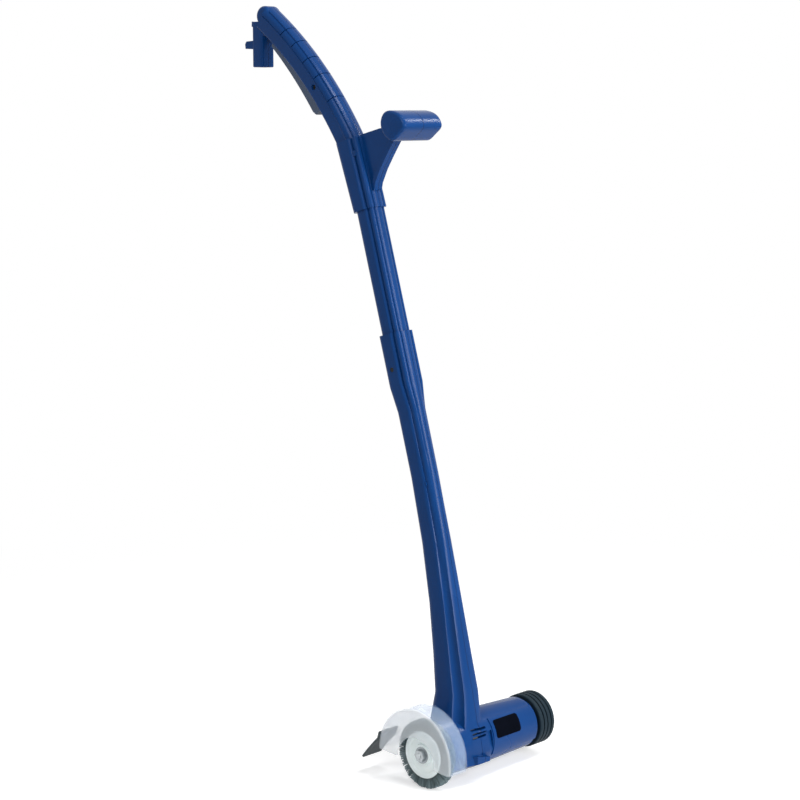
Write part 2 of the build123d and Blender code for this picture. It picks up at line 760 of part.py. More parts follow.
with BuildPart() as spindle_bearings:
    ring(26.2, 34.2, 13, 5.03)
    ring(37.6, 45.6, 13, 5.03)
spindle_bearings.part.label = "spindle_bearings"
export_step(spindle_bearings.part, "parts/spindle_bearings.step")

# BRUSH: disc, ring of bristles on its backing, washer and nut
with BuildPart() as brush_disc:
    turned([
        (-3.6, 5.02), (-3.6, 15), (-1, 16.5), (-1, 25.5), (-2.8, 27.5), (-2.8, 32.5), (-1.4, 34), (0, 34),
        (0, disc_radius - 0.05),
        (brush_width, disc_radius - 0.05), (brush_width, 34), (16.5, 34), (16.9, 14), (16.9, 5.02),
    ])
brush_disc.part.label = "brush_disc"
export_step(brush_disc.part, "parts/brush_disc.step")

row_pitch = brush_width / strand_rows
strand_length = brush_radius - disc_radius - backing + 1
strand_seats = []
for row in range(strand_rows):
    for strand in range(strands_per_row):
        angle = 2 * pi * (strand + 0.5 * (row % 2)) / strands_per_row
        outward = Vector(0, cos(angle), sin(angle))
        centre = Vector(brush_face_x + row_pitch * (row + 0.5), axis_y, axis_z)
        foot = centre + outward * (disc_radius + backing - 1)
        strand_seats.append(Plane(foot, x_dir=(1, 0, 0), z_dir=outward))

with BuildPart() as bristles:
    ring(0.05, brush_width - 0.05, disc_radius + backing, disc_radius)
    with Locations(*strand_seats):
        Box(strand_size, strand_size, strand_length, align=(Align.CENTER, Align.CENTER, Align.MIN))
bristles.part.label = "bristles"
export_step(bristles.part, "parts/bristles.step")

with BuildPart() as brush_washer:
    ring(-4.4, -3.6, 12, 5.02)
brush_washer.part.label = "brush_washer"
export_step(brush_washer.part, "parts/brush_washer.step")

with BuildPart() as brush_nut:
    with BuildSketch(across(-9.8)):
        RegularPolygon(9.2, 6)
    extrude(amount=5.4)
    bar(0, 0, 4.02, -11, -3, Mode.SUBTRACT)
    chamfer(brush_nut.edges().group_by(Axis.X)[0].filter_by(GeomType.LINE), 0.6)
brush_nut.part.label = "brush_nut"
export_step(brush_nut.part, "parts/brush_nut.step")

# MOTOR: stator with two poles and field coils, armature, fan, commutator with carbon brushes
with BuildPart() as motor_bulkhead:
    turned([(70.1, 7), (72, 7), (72, 11.02), (80, 11.02), (80, case_bore), (70.1, case_bore)])
    for y, z in bulkhead_screw_places:
        bar(y, z, 1.6, 69, 81, Mode.SUBTRACT)
motor_bulkhead.part.label = "motor_bulkhead"
export_step(motor_bulkhead.part, "parts/motor_bulkhead.step")

with BuildPart() as bulkhead_screws:
    for y, z in bulkhead_screw_places:
        bar(y, z, 1.5, 62, 80)
        bar(y, z, 2.8, 80, 82.2)
bulkhead_screws.part.label = "bulkhead_screws"
export_step(bulkhead_screws.part, "parts/bulkhead_screws.step")

with BuildPart() as stator_core:
    ring(105, 150, 28, 17.5)
    with BuildSketch(across(104)):
        with PolarLocations(0, 2, start_angle=90):
            with BuildLine():
                Polyline((0, 0), (40, -23), (40, 23), (0, 0))
            make_face()
        Circle(22, mode=Mode.INTERSECT)
    extrude(amount=47, mode=Mode.SUBTRACT)
stator_core.part.label = "stator_core"
export_step(stator_core.part, "parts/stator_core.step")

with BuildPart() as field_coils:
    ring(99, 156, 21.8, 18)
    with BuildSketch(across(98)):
        with PolarLocations(0, 2, start_angle=90):
            with BuildLine():
                Polyline((0, 0), (40, -22), (40, 22), (0, 0))
            make_face()
    extrude(amount=60, mode=Mode.INTERSECT)
field_coils.part.label = "field_coils"
export_step(field_coils.part, "parts/field_coils.step")

with BuildPart() as motor_bearings:
    ring(72.1, 79.1, 11, 4.03)
    ring(189.6, 196.6, 11, 4.03)
motor_bearings.part.label = "motor_bearings"
export_step(motor_bearings.part, "parts/motor_bearings.step")

with BuildPart() as armature_shaft:
    turned([(57, 0), (57, 2.98), (67.5, 2.98), (67.5, 4), (197, 4), (197, 0)])
armature_shaft.part.label = "armature_shaft"
export_step(armature_shaft.part, "parts/armature_shaft.step")

with BuildPart() as armature_core:
    ring(105, 150, 17, 4)
    with BuildSketch(across(104)):
        with PolarLocations(14.5, 12):
            Rectangle(6, 2.4)
    extrude(amount=47, mode=Mode.SUBTRACT)
armature_core.part.label = "armature_core"
export_step(armature_core.part, "parts/armature_core.step")

with BuildPart() as winding_heads:
    turned([(95, 6), (97, 4), (105, 4), (105, 15.5), (99, 15.5), (95, 12)])
    turned([(150, 4), (160, 4), (163, 6), (163, 10), (156, 15.5), (150, 15.5)])
winding_heads.part.label = "winding_heads"
export_step(winding_heads.part, "parts/winding_heads.step")

with BuildPart() as commutator:
    ring(165, 180, 9, 4)
    with BuildSketch(across(164)):
        with PolarLocations(9, 24):
            Rectangle(1.4, 0.5)
    extrude(amount=14, mode=Mode.SUBTRACT)
commutator.part.label = "commutator"
export_step(commutator.part, "parts/commutator.step")

with BuildPart() as cooling_fan:
    ring(84, 93, 8, 4)
    ring(84, 86, 26, 4)
    with BuildSketch(across(85)):
        with PolarLocations(17, 12):
            Rectangle(17, 1.6, rotation=18)
    extrude(amount=8)
cooling_fan.part.label = "cooling_fan"
export_step(cooling_fan.part, "parts/cooling_fan.step")

with BuildPart() as brush_holders:
    with BuildSketch(Plane((brush_face_x + 172.5, axis_y, axis_z), x_dir=(1, 0, 0), z_dir=(0, 1, 0))):
        Rectangle(13, 11)
        Rectangle(9, 7, mode=Mode.SUBTRACT)
    extrude(amount=29.5, both=True)
    bar(0, 0, 10.5, 160, 185, Mode.SUBTRACT)
brush_holders.part.label = "brush_holders"
export_step(brush_holders.part, "parts/brush_holders.step")

with BuildPart() as carbon_brushes:
    with BuildSketch(Plane((brush_face_x + 172.5, axis_y, axis_z), x_dir=(1, 0, 0), z_dir=(0, 1, 0))):
        Rectangle(8.8, 6.8)
    extrude(amount=22, both=True)
    bar(0, 0, 9.35, 160, 185, Mode.SUBTRACT)
carbon_brushes.part.label = "carbon_brushes"
export_step(carbon_brushes.part, "parts/carbon_brushes.step")

with BuildPart() as terminal_block:
    slab([(0, 47), (16, 47), (16, 59), (0, 59)], 73, 92)
terminal_block.part.label = "terminal_block"
export_step(terminal_block.part, "parts/terminal_block.step")

# two leads from the terminal block down to the field coils
with BuildPart() as motor_leads:
    for lead_y in (5, 11):
        top = sqrt(21.8**2 - lead_y**2) + 0.1
        lead_plane = Plane((brush_face_x, axis_y + lead_y, axis_z), x_dir=(1, 0, 0), z_dir=(0, -1, 0))
        with BuildLine(lead_plane) as lead_route:
            FilletPolyline((92, 53), (100, 53), (100, top), radius=6)
        lead_line = lead_route.wire()
        with BuildSketch(Plane(lead_line @ 0, z_dir=lead_line % 0)) as lead_section:
            Circle(1)
        sweep(lead_section.sketch, path=lead_line)
motor_leads.part.label = "motor_leads"
export_step(motor_leads.part, "parts/motor_leads.step")

# bare plate on the barrel's front panel
with BuildPart() as barrel_plate:
    plate_ends = [plate_station - plate_size[0] / 2 - 2, plate_station + plate_size[0] / 2 + 2]
    loft([barrel_section(station, panel_raise + 0.63) for station in plate_ends])
    loft([barrel_section(station, panel_raise + 0.03) for station in plate_ends], mode=Mode.SUBTRACT)
    outward = above_front(plate_angle)
    plate_foot = Vector(brush_face_x + plate_station, axis_y, axis_z) + outward * 20
    with BuildSketch(Plane(plate_foot, x_dir=(1, 0, 0), z_dir=outward)):
        RectangleRounded(*plate_size, 4)
    extrude(amount=30, mode=Mode.INTERSECT)
barrel_plate.part.label = "barrel_plate"
export_step(barrel_plate.part, "parts/barrel_plate.step")

# rivets that hold the flap on the guard's rear
flap_rivet_angle = 11.5
flap_rivet_stations = (-5, 15)


# round pin through the guard's rear wall, measured out from the hood's axis
def flap_rivet(station, radius, inner, outer, mode=Mode.ADD):
    angle = radians(flap_rivet_angle)
    outward = Vector(0, cos(angle), sin(angle))
    centre = Vector(brush_face_x + station, axis_y + guard_y, axis_z + guard_z)
    with BuildSketch(Plane(centre + outward * inner, x_dir=(1, 0, 0), z_dir=outward)) as section:
        Circle(radius)
    extrude(section.sketch, amount=outer - inner, mode=mode)


# GUARD: hood over the brush, open below, with an arched opening in its outer wall
with BuildPart() as guard:
    with BuildSketch(across(guard_x0)):
        with Locations((guard_y, guard_z)):
            Circle(guard_radius)
    extrude(amount=guard_x1 - guard_x0)
    fillet(guard.edges().filter_by(GeomType.CIRCLE), 3.5)
    bar(
        guard_y, guard_z, guard_radius - guard_wall, guard_x0 + guard_wall, guard_x1 - guard_wall - 0.1,
        Mode.SUBTRACT,
    )
    slab([(-90, -16.5), (100, -3.5), (100, -90), (-90, -90)], guard_x0 - 1, guard_x1 + 1, Mode.SUBTRACT)
    bar(3, -9, 36, guard_x0 - 1, guard_x0 + guard_wall + 0.5, Mode.SUBTRACT)
    bar(0, 0, 22.1, guard_x1 - 5, guard_x1 + 1, Mode.SUBTRACT)
    for y, z in guard_screw_places:
        bar(y, z, 2.1, guard_x1 - 5, guard_x1 + 1, Mode.SUBTRACT)
    for station in flap_rivet_stations:
        flap_rivet(station, 2.05, 60, 75, Mode.SUBTRACT)
guard.part.label = "guard"
export_step(guard.part, "parts/guard.step")

with BuildPart() as guard_screws:
    for y, z in guard_screw_places:
        bar(y, z, 2, guard_x1 - guard_wall - 0.1, 34)
        bar(y, z, 3.8, guard_x1 - guard_wall - 2.4, guard_x1 - guard_wall - 0.1)
guard_screws.part.label = "guard_screws"
export_step(guard_screws.part, "parts/guard_screws.step")

# FLAP: rubber skirt behind the guard, riveted to its rear
with BuildPart() as flap:
    with BuildSketch(across(guard_x0 + 0.5)):
        with BuildLine():
            Polyline(
                (73.9, 18.6), (77, 8), (84.5, 0.5), (97, -13), (108.5, -27), (111, -25.2), (99.2, -11.2),
                (86.4, 2.6), (79.6, 9.4), (76.5, 19.4), close=True,
            )
        make_face()
    extrude(amount=guard_x1 - guard_x0 - 1)
    for station in flap_rivet_stations:
        flap_rivet(station, 2.05, 60, 85, Mode.SUBTRACT)
flap.part.label = "flap"
export_step(flap.part, "parts/flap.step")

with BuildPart() as flap_rivets:
    for station in flap_rivet_stations:
        flap_rivet(station, 2, guard_radius - guard_wall - 0.6, 74.6)
        flap_rivet(station, 3.6, 74.2, 75.2)
        flap_rivet(station, 3.4, guard_radius - guard_wall - 1.6, guard_radius - guard_wall - 0.5)
flap_rivets.part.label = "flap_rivets"
export_step(flap_rivets.part, "parts/flap_rivets.step")

# GUIDE WHEEL on its axle bolt
with BuildPart() as guide_axle:
    bar(0, 0, axle_radius, 199.6, 236.5)
    bar(0, 0, 8, 236.5, 239.5)
    with BuildSketch(across(239.5)):
        RegularPolygon(3, 6)
    extrude(amount=-2, mode=Mode.SUBTRACT)
guide_axle.part.label = "guide_axle"
export_step(guide_axle.part, "parts/guide_axle.step")

with BuildPart() as wheel_hub:
    turned([
        (209.8, 4.05), (209.8, 9), (213, 9), (213, 24), (222, 24), (222, 27.5), (213, 27.5),
        (wheel_x0, tyre_inner - 0.5), (wheel_x0 + 0.5, tyre_inner), (wheel_x1 - 0.5, tyre_inner),
        (wheel_x1, tyre_inner - 0.5), (wheel_x1, 12.5), (236, 12.5), (236, 4.05),
    ])
wheel_hub.part.label = "wheel_hub"
export_step(wheel_hub.part, "parts/wheel_hub.step")

# tyre: four ribs with three grooves between them
with BuildPart() as tyre:
    ring(wheel_x0, wheel_x1, wheel_radius, tyre_inner + 0.02)
    fillet(tyre.edges().filter_by(GeomType.CIRCLE).sort_by(SortBy.RADIUS)[-2:], 2)
    for station in (219.4, 227.3, 235.2):
        ring(station - 1.1, station + 1.1, wheel_radius + 1, wheel_radius - 2.6, Mode.SUBTRACT)
tyre.part.label = "tyre"
export_step(tyre.part, "parts/tyre.step")

with BuildPart() as wheel_cap:
    ring(240.2, wheel_x1 - 0.4, 12.4, 0)
wheel_cap.part.label = "wheel_cap"
export_step(wheel_cap.part, "parts/wheel_cap.step")
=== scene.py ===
import json
import math

import bpy
import numpy as np
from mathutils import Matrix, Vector


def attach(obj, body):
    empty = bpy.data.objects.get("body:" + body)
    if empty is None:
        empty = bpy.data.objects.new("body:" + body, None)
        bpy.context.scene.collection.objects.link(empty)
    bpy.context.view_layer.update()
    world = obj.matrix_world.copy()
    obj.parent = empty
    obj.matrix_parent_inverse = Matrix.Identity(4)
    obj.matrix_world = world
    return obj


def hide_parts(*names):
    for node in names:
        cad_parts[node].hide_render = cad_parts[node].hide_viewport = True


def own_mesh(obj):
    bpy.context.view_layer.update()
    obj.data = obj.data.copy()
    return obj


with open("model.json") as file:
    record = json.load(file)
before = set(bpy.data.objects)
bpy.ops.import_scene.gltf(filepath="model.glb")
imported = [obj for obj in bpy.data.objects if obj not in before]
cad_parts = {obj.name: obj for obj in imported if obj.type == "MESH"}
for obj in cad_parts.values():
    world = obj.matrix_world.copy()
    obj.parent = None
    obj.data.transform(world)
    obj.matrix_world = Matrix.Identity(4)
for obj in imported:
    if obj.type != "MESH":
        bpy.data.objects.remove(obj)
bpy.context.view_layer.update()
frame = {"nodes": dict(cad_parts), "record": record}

scene = bpy.context.scene
nodes = frame["nodes"]
scene.view_settings.view_transform = "Standard"
perMetre = 1000  # the looks give pattern sizes in millimetres
plainWhite = (1, 1, 1, 1)
print("frame loaded:", len(nodes), "nodes")


def newObject(name, data):  # object linked to the scene, at the origin
    thing = bpy.data.objects.new(name, data)
    bpy.context.collection.objects.link(thing)
    return thing


def linear(hexText):  # sRGB hex to linear colour
    channel = np.array([int(hexText[i:i + 2], 16) for i in (1, 3, 5)]) / 255
    value = np.where(channel <= 0.04045, channel / 12.92, ((channel + 0.055) / 1.055) ** 2.4)
    return (*value.tolist(), 1.0)


def addNode(tree, kind, settings=None, inputs=None):  # inputs are values or sockets to link from
    node = tree.nodes.new(kind)
    for key, value in (settings or {}).items():
        setattr(node, key, value)
    for key, value in (inputs or {}).items():
        if isinstance(value, bpy.types.NodeSocket):
            tree.links.new(value, node.inputs[key])
        else:
            node.inputs[key].default_value = value
    return node


def newMaterial(name):  # empty material, its tree and the object coordinates in metres
    material = bpy.data.materials.new(name)
    material.use_nodes = True
    tree = material.node_tree
    tree.nodes.clear()
    return material, tree, addNode(tree, "ShaderNodeTexCoord").outputs["Object"]


def seenRays(tree):  # 1 for rays that look, directly or by way of a shiny or clear piece, 0 for light
    rays = addNode(tree, "ShaderNodeLightPath").outputs
    direct = addNode(tree, "ShaderNodeMath", {"operation": "MAXIMUM"}, {
        0: rays["Is Camera Ray"], 1: rays["Is Glossy Ray"]})
    return addNode(tree, "ShaderNodeMath", {"operation": "MAXIMUM"}, {
        0: direct.outputs[0], 1: rays["Is Transmission Ray"]}).outputs[0]


# Camera at the photograph's viewing angle, for an 800 by 800 image. Lens and sensor are in millimetres,
# angles in degrees
cameraView = {
    "place": (-1.9945, -1.980, 0.961), "lens": 85.7, "sensor": 36, "down": 8.8, "turn": 45.7,
}
lens = bpy.data.cameras.new("camera")
lens.lens = cameraView["lens"]
lens.sensor_width = cameraView["sensor"]
camera = newObject("camera", lens)
camera.location = cameraView["place"]
camera.rotation_euler = (math.radians(90 - cameraView["down"]), 0, -math.radians(cameraView["turn"]))
scene.camera = camera

# Soft studio light: a tall softbox to the right of the camera for the long highlights, a small one
# overhead, a narrow strip at the far right, a weak fill on the brush's side and a pale surround.
# Each lamp has its place, the point it aims at, its width and height in metres and its power in watts
studio = {
    "surround": 0.26,
    "lamps": [
        ("topSoftbox", (0.1, -0.9, 3.2), (0, 0, 0.4), 0.6, 0.6, 22),
        ("rightStrip", (2.0, -1.0, 2.5), (0, 0, 0.9), 0.2, 0.6, 22),
        ("frontSoftbox", (0.3, -2.87, 1.25), (0, 0, 0.6), 0.9, 1.9, 86),
        ("leftFill", (-1.8, -0.6, 2.1), (0, 0, 0.7), 1.0, 1.0, 18),
    ],
}
for name, place, aim, width, height, power in studio["lamps"]:
    lamp = bpy.data.lights.new(name, "AREA")
    lamp.shape = "RECTANGLE"
    lamp.size = width
    lamp.size_y = height
    lamp.energy = power
    holder = newObject(name, lamp)
    holder.location = place
    holder.rotation_euler = (Vector(aim) - Vector(place)).to_track_quat("-Z", "Y").to_euler()

world = bpy.data.worlds.new("paleSurround")
scene.world = world
world.use_nodes = True
tree = world.node_tree
tree.nodes.clear()
dim = addNode(tree, "ShaderNodeBackground", None, {
    "Color": plainWhite, "Strength": studio["surround"]})
white = addNode(tree, "ShaderNodeBackground", None, {"Color": plainWhite, "Strength": 1.0})
mixed = addNode(tree, "ShaderNodeMixShader", None, {
    0: seenRays(tree), 1: dim.outputs[0], 2: white.outputs[0]})
addNode(tree, "ShaderNodeOutputWorld", None, {"Surface": mixed.outputs[0]})

# Pale floor: lit and shaded near the object, lifted to white for what sees it, plain white further out
floorLook = {
    "half": 30.0, "height": -0.0003, "paint": "#e8e8e8", "lift": 0.46, "near": 0.45, "far": 1.5,
}
floorMesh = bpy.data.meshes.new("floor")
half, height = floorLook["half"], floorLook["height"]
floorMesh.from_pydata(
    [(-half, -half, height), (half, -half, height), (half, half, height), (-half, half, height)],
    [], [(0, 1, 2, 3)])
floor = newObject("floor", floorMesh)
material, tree, place = newMaterial("paintedFloor")
seen = seenRays(tree)
paint = addNode(tree, "ShaderNodeBsdfDiffuse", None, {"Color": linear(floorLook["paint"])})
lift = addNode(tree, "ShaderNodeMath", {"operation": "MULTIPLY"}, {0: seen, 1: floorLook["lift"]})
glow = addNode(tree, "ShaderNodeEmission", None, {"Color": plainWhite, "Strength": lift.outputs[0]})
lit = addNode(tree, "ShaderNodeAddShader", None, {0: paint.outputs[0], 1: glow.outputs[0]})
away = addNode(tree, "ShaderNodeVectorMath", {"operation": "LENGTH"}, {0: place})
fade = addNode(tree, "ShaderNodeMapRange", {"interpolation_type": "SMOOTHSTEP"}, {
    "Value": away.outputs["Value"], "From Min": floorLook["near"], "From Max": floorLook["far"]})
fade = addNode(tree, "ShaderNodeMath", {"operation": "MULTIPLY"}, {0: fade.outputs[0], 1: seen})
plain = addNode(tree, "ShaderNodeEmission", None, {"Color": plainWhite, "Strength": 1.0})
both = addNode(tree, "ShaderNodeMixShader", None, {
    0: fade.outputs[0], 1: lit.outputs[0], 2: plain.outputs[0]})
addNode(tree, "ShaderNodeOutputMaterial", None, {"Surface": both.outputs[0]})
floorMesh.materials.append(material)
print("camera, light and floor set")

noiseSpan = (0.3, 0.7)  # nearly all of a noise lies between these


# Last nodes of most finishes: roughness that wanders with a noise, the shader and its output
def finishMaterial(material, tree, shade, wander, normal, rough, sockets):
    roughness = addNode(tree, "ShaderNodeMapRange", None, {
        "Value": wander, "From Min": noiseSpan[0], "From Max": noiseSpan[1],
        "To Min": rough[0], "To Max": rough[1]})
    shader = addNode(tree, "ShaderNodeBsdfPrincipled", None, {
        "Base Color": shade, "Roughness": roughness.outputs[0], "Normal": normal, **sockets})
    addNode(tree, "ShaderNodeOutputMaterial", None, {"Surface": shader.outputs[0]})
    return material


# Common surface: two shades in soft patches, roughness that wanders between two values, and a fine
# grain in relief
def mottled(name, look):
    material, tree, place = newMaterial(name)
    patch = addNode(tree, "ShaderNodeTexNoise", None, {
        "Vector": place, "Scale": perMetre / look["patch"], "Detail": 3.0, "Roughness": 0.55})
    shade = addNode(tree, "ShaderNodeMix", {"data_type": "RGBA"}, {
        0: patch.outputs[0], 6: linear(look["dark"]), 7: linear(look["light"])})
    grain = addNode(tree, "ShaderNodeTexNoise", None, {
        "Vector": place, "Scale": perMetre / look["grain"], "Detail": 2.0})
    relief = addNode(tree, "ShaderNodeBump", None, {
        "Height": grain.outputs[0], "Distance": look["depth"] / perMetre, "Strength": 1.0})
    return finishMaterial(
        material, tree, shade.outputs[2], grain.outputs[0], relief.outputs[0], look["rough"],
        {"Metallic": look.get("metallic", 0.0), **look.get("sockets", {})})


# Blue ABS moulded in a polished tool: deep colour, soft-edged gloss, faint flow clouds and the dark
# parting line between the two halves, drawn about a millimetre wide so that it shows
absLook = {
    "deep": "#083368", "clear": "#0d3d78", "cloud": 70, "peel": 2.2, "peelDepth": 0.003,
    "rough": (0.22, 0.28), "sockets": {"IOR": 1.54, "Specular IOR Level": 0.095},
    "seamX": -31.5, "seamInner": 0.2, "seamOuter": 0.6, "seamDepth": 0.3, "seamShade": "#0d2654",
}


def mouldedAbs():
    material, tree, place = newMaterial("mouldedAbsBlue")
    cloud = addNode(tree, "ShaderNodeTexNoise", None, {
        "Vector": place, "Scale": perMetre / absLook["cloud"], "Detail": 2.0})
    shade = addNode(tree, "ShaderNodeMix", {"data_type": "RGBA"}, {
        0: cloud.outputs[0], 6: linear(absLook["deep"]), 7: linear(absLook["clear"])})
    across = addNode(tree, "ShaderNodeSeparateXYZ", None, {"Vector": place})
    aside = addNode(tree, "ShaderNodeMath", {"operation": "SUBTRACT"}, {
        0: across.outputs["X"], 1: absLook["seamX"] / perMetre})
    aside = addNode(tree, "ShaderNodeMath", {"operation": "ABSOLUTE"}, {0: aside.outputs[0]})
    clear = addNode(tree, "ShaderNodeMapRange", {"interpolation_type": "SMOOTHSTEP"}, {
        "Value": aside.outputs[0], "From Min": absLook["seamInner"] / perMetre,
        "From Max": absLook["seamOuter"] / perMetre})
    shade = addNode(tree, "ShaderNodeMix", {"data_type": "RGBA"}, {
        0: clear.outputs[0], 6: linear(absLook["seamShade"]), 7: shade.outputs[2]})
    peel = addNode(tree, "ShaderNodeTexNoise", None, {
        "Vector": place, "Scale": perMetre / absLook["peel"], "Detail": 1.0})
    relief = addNode(tree, "ShaderNodeBump", None, {
        "Height": peel.outputs[0], "Distance": absLook["peelDepth"] / perMetre, "Strength": 1.0})
    seam = addNode(tree, "ShaderNodeBump", None, {
        "Height": clear.outputs[0], "Distance": absLook["seamDepth"] / perMetre, "Strength": 1.0,
        "Normal": relief.outputs[0]})
    return finishMaterial(
        material, tree, shade.outputs[2], cloud.outputs[0], seam.outputs[0], absLook["rough"],
        absLook["sockets"])


# Blue ABS drawn through a die: as the housings, but with fine draw lines along the tube's lean, drawn
# coarser than real so that they show
tubeLook = {"lean": 16.44, "line": 1.2, "run": 90, "lineDepth": 0.006}


def drawnAbs():
    material, tree, place = newMaterial("drawnAbsBlue")
    across, along = perMetre / tubeLook["line"], perMetre / tubeLook["run"]
    turned = addNode(tree, "ShaderNodeMapping", None, {
        "Vector": place, "Rotation": (math.radians(tubeLook["lean"]), 0, 0)})
    streak = addNode(tree, "ShaderNodeVectorMath", {"operation": "MULTIPLY"}, {
        0: turned.outputs[0], 1: (across, across, along)})
    lines = addNode(tree, "ShaderNodeTexNoise", None, {
        "Vector": streak.outputs[0], "Scale": 1.0, "Detail": 2.0})
    shade = addNode(tree, "ShaderNodeMix", {"data_type": "RGBA"}, {
        0: lines.outputs[0], 6: linear(absLook["deep"]), 7: linear(absLook["clear"])})
    relief = addNode(tree, "ShaderNodeBump", None, {
        "Height": lines.outputs[0], "Distance": tubeLook["lineDepth"] / perMetre, "Strength": 1.0})
    return finishMaterial(
        material, tree, shade.outputs[2], lines.outputs[0], relief.outputs[0], absLook["rough"],
        absLook["sockets"])


waveRate = 20  # radians that the wave node turns through over one unit


# Metal or winding with fine lines across one axis: turned steel, stacked laminations, wound copper.
# The pitch is coarser than real where the real one is too fine to show
def banded(name, look):
    material, tree, place = newMaterial(name)
    wave = addNode(tree, "ShaderNodeTexWave", {"wave_type": "BANDS", "bands_direction": look["way"]}, {
        "Vector": place, "Scale": perMetre / look["pitch"] * 2 * math.pi / waveRate,
        "Distortion": look["wander"], "Detail": 2.0})
    tint = addNode(tree, "ShaderNodeTexNoise", None, {
        "Vector": place, "Scale": perMetre / look["patch"], "Detail": 2.0})
    blend = addNode(tree, "ShaderNodeMath", {"operation": "MULTIPLY"}, {
        0: wave.outputs["Fac"], 1: tint.outputs[0]})
    shade = addNode(tree, "ShaderNodeMix", {"data_type": "RGBA"}, {
        0: blend.outputs[0], 6: linear(look["dark"]), 7: linear(look["light"])})
    relief = addNode(tree, "ShaderNodeBump", None, {
        "Height": wave.outputs["Fac"], "Distance": look["depth"] / perMetre, "Strength": 1.0})
    return finishMaterial(
        material, tree, shade.outputs[2], tint.outputs[0], relief.outputs[0], look["rough"],
        {"Metallic": 1.0})


# Nylon filaments with grit: grey, each tuft a little different, with painted shade that darkens them from
# the tips towards the roots
filamentLook = {
    "root": "#3b4e52", "tip": "#9db2b7", "rough": 0.5, "grit": 0.8, "gritTone": (0.75, 1.1),
}


def nylonFilament():
    material, tree, place = newMaterial("extrudedNylonFilament")
    # Painted shade: the shade attribute is each filament's own tone, darkened towards the root where the
    # tuft lies in shade
    shade = addNode(tree, "ShaderNodeAttribute", {"attribute_name": "shade"})
    grit = addNode(tree, "ShaderNodeTexNoise", None, {
        "Vector": place, "Scale": perMetre / filamentLook["grit"], "Detail": 1.0})
    tone = addNode(tree, "ShaderNodeMapRange", None, {
        "Value": grit.outputs[0], "From Min": noiseSpan[0], "From Max": noiseSpan[1],
        "To Min": filamentLook["gritTone"][0], "To Max": filamentLook["gritTone"][1]})
    level = addNode(tree, "ShaderNodeMath", {"operation": "MULTIPLY"}, {
        0: shade.outputs["Fac"], 1: tone.outputs[0]})
    colour = addNode(tree, "ShaderNodeMix", {"data_type": "RGBA"}, {
        0: level.outputs[0], 6: linear(filamentLook["root"]), 7: linear(filamentLook["tip"])})
    shader = addNode(tree, "ShaderNodeBsdfPrincipled", None, {
        "Base Color": colour.outputs[2], "Roughness": filamentLook["rough"]})
    addNode(tree, "ShaderNodeOutputMaterial", None, {"Surface": shader.outputs[0]})
    return material


# Milky polypropylene, moulded: lets through what is behind, denser and whiter on the flat face than
# on the rim, whose colour carries a painted blue cast of light from the housing behind
guardLook = {
    # the rim colour is a painted blue cast of light from the housing behind
    "face": "#e9f1f9", "rim": "#adc8ee", "faceEnd": -126.2, "rimStart": -124.0,
    "faceAlpha": 0.33, "rimAlpha": 0.17, "cloudShade": "#eef5fd", "cloud": 40, "cloudShare": 0.3,
    "grain": 2.0, "depth": 0.01, "rough": (0.2, 0.28),
    "sockets": {
        "IOR": 1.49, "Subsurface Weight": 0.7, "Subsurface Radius": (1.0, 1.0, 1.0),
        "Subsurface Scale": 0.008},
}


def milkyPolypropylene():
    material, tree, place = newMaterial("mouldedPolypropyleneMilky")
    across = addNode(tree, "ShaderNodeSeparateXYZ", None, {"Vector": place})
    rim = addNode(tree, "ShaderNodeMapRange", {"interpolation_type": "SMOOTHSTEP"}, {
        "Value": across.outputs["X"], "From Min": guardLook["faceEnd"] / perMetre,
        "From Max": guardLook["rimStart"] / perMetre})
    # Painted light: towards the rim the colour turns to the blue cast that the housing throws into it
    tone = addNode(tree, "ShaderNodeMix", {"data_type": "RGBA"}, {
        0: rim.outputs[0], 6: linear(guardLook["face"]), 7: linear(guardLook["rim"])})
    cloud = addNode(tree, "ShaderNodeTexNoise", None, {
        "Vector": place, "Scale": perMetre / guardLook["cloud"], "Detail": 3.0})
    share = addNode(tree, "ShaderNodeMapRange", None, {
        "Value": cloud.outputs[0], "From Min": noiseSpan[0], "From Max": noiseSpan[1],
        "To Min": 0.0, "To Max": guardLook["cloudShare"]})
    shade = addNode(tree, "ShaderNodeMix", {"data_type": "RGBA"}, {
        0: share.outputs[0], 6: tone.outputs[2], 7: linear(guardLook["cloudShade"])})
    alpha = addNode(tree, "ShaderNodeMapRange", None, {
        "Value": rim.outputs[0], "To Min": guardLook["faceAlpha"], "To Max": guardLook["rimAlpha"]})
    grain = addNode(tree, "ShaderNodeTexNoise", None, {
        "Vector": place, "Scale": perMetre / guardLook["grain"], "Detail": 2.0})
    relief = addNode(tree, "ShaderNodeBump", None, {
        "Height": grain.outputs[0], "Distance": guardLook["depth"] / perMetre, "Strength": 1.0})
    return finishMaterial(
        material, tree, shade.outputs[2], grain.outputs[0], relief.outputs[0], guardLook["rough"],
        {"Alpha": alpha.outputs[0], **guardLook["sockets"]})


